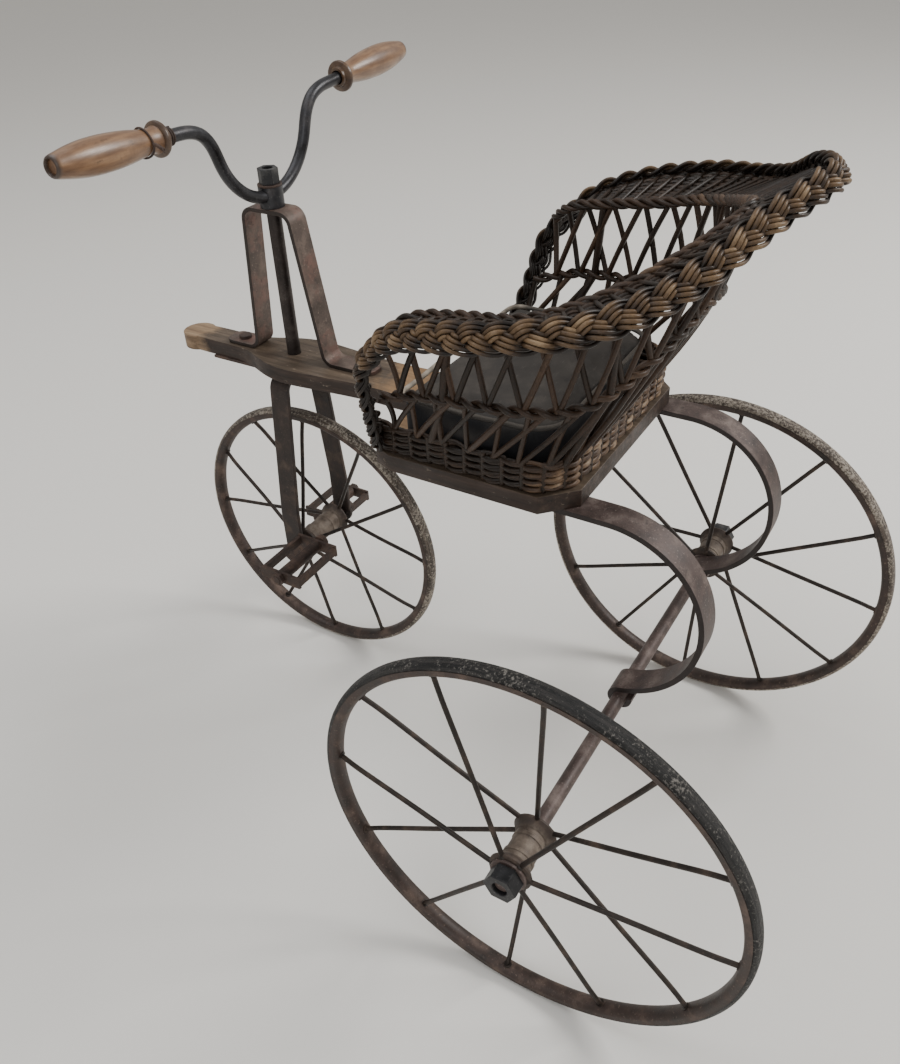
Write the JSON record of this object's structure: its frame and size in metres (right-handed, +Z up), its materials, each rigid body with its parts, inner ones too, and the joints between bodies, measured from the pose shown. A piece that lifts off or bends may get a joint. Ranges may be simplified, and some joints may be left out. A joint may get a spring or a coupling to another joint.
{
  "type": "child's pedal tricycle with a wicker seat",
  "caption": "Child's pedal tricycle: wicker tub seat on a board with C springs, spoked wheels, and a fork with handlebar and pedals.",
  "frame": {"origin": "on the ground under the middle of the whole tricycle's box", "axes": "+Z up, the front wheel points towards -Y, +X is the rider's left; +Y runs along the longest extent"},
  "size_m": [0.5573, 0.75, 0.6337],
  "materials": {
    "worn_board": "worn brown varnish",
    "rusty_iron": "rusty, dark",
    "dark_steel": "dull, stained",
    "bar_iron": "worn grey-black paint",
    "grip_wood": "honey brown, worn",
    "spring_paint": "faded mauve-brown paint",
    "hub_paint": "worn, pale",
    "rim_iron": "rusty brown",
    "spoke_steel": "dark, dull",
    "black_tyre": "perished rubber",
    "pale_tyre": "perished, worn pale",
    "wicker": "dark stained cane",
    "oilcloth": "dull grey oilcloth, worn edge"
  },
  "bodies": {
    "frame": {"deck_board": "worn_board", "head_bracket": "rusty_iron", "bracket_bolts": "rusty_iron", "nose_strap": "rusty_iron", "left_spring": "spring_paint", "right_spring": "spring_paint", "spring_bolts": "rusty_iron", "rear_axle": "spring_paint", "axle_washers": "spring_paint", "axle_nuts": "spring_paint", "basket_base": "wicker", "lower_stakes": "wicker", "mid_band": "wicker", "upper_stakes": "wicker", "brim_rope": "wicker", "basket_brim": "wicker", "basket_border": "wicker", "seat_pad": "oilcloth"},
    "steering": {"fork": "rusty_iron", "steering_post": "dark_steel", "handlebar": "bar_iron", "bar_washer": "dark_steel", "bar_nut": "dark_steel", "wire_ring": "dark_steel", "left_ferrule": "grip_wood", "right_ferrule": "grip_wood", "left_grip": "grip_wood", "right_grip": "grip_wood"},
    "front_wheel": {"front_rim": "rim_iron", "front_tyre": "pale_tyre", "front_spokes": "spoke_steel", "front_hub": "hub_paint", "front_axle": "rusty_iron", "left_crank": "rusty_iron", "right_crank": "rusty_iron", "pedal_nuts": "rusty_iron"},
    "left_pedal": {"left_pedal": "rusty_iron"},
    "right_pedal": {"right_pedal": "rusty_iron"},
    "left_wheel": {"left_rim": "rim_iron", "left_tyre": "black_tyre", "left_spokes": "spoke_steel", "left_hub": "hub_paint"},
    "right_wheel": {"right_rim": "rim_iron", "right_tyre": "pale_tyre", "right_spokes": "spoke_steel", "right_hub": "hub_paint"}
  },
  "joints": [
    {"name": "steering", "type": "hinge", "parent": "frame", "child": "steering", "pos_m": [-0.0495, -0.22, 0.45], "axis": [0, 0, 1], "range_deg": [-50, 50]},
    {"name": "front_wheel_spin", "type": "hinge", "parent": "steering", "child": "front_wheel", "pos_m": [-0.0495, -0.22, 0.155], "axis": [1, 0, 0], "continuous": true},
    {"name": "left_pedal_spin", "type": "hinge", "parent": "front_wheel", "child": "left_pedal", "pos_m": [0.0405, -0.17495, 0.18655], "axis": [1, 0, 0], "continuous": true},
    {"name": "right_pedal_spin", "type": "hinge", "parent": "front_wheel", "child": "right_pedal", "pos_m": [-0.1395, -0.26505, 0.12345], "axis": [1, 0, 0], "continuous": true},
    {"name": "left_wheel_spin", "type": "hinge", "parent": "frame", "child": "left_wheel", "pos_m": [0.2405, 0.195, 0.18], "axis": [1, 0, 0], "continuous": true},
    {"name": "right_wheel_spin", "type": "hinge", "parent": "frame", "child": "right_wheel", "pos_m": [-0.1815, 0.195, 0.18], "axis": [1, 0, 0], "continuous": true}
  ]
}
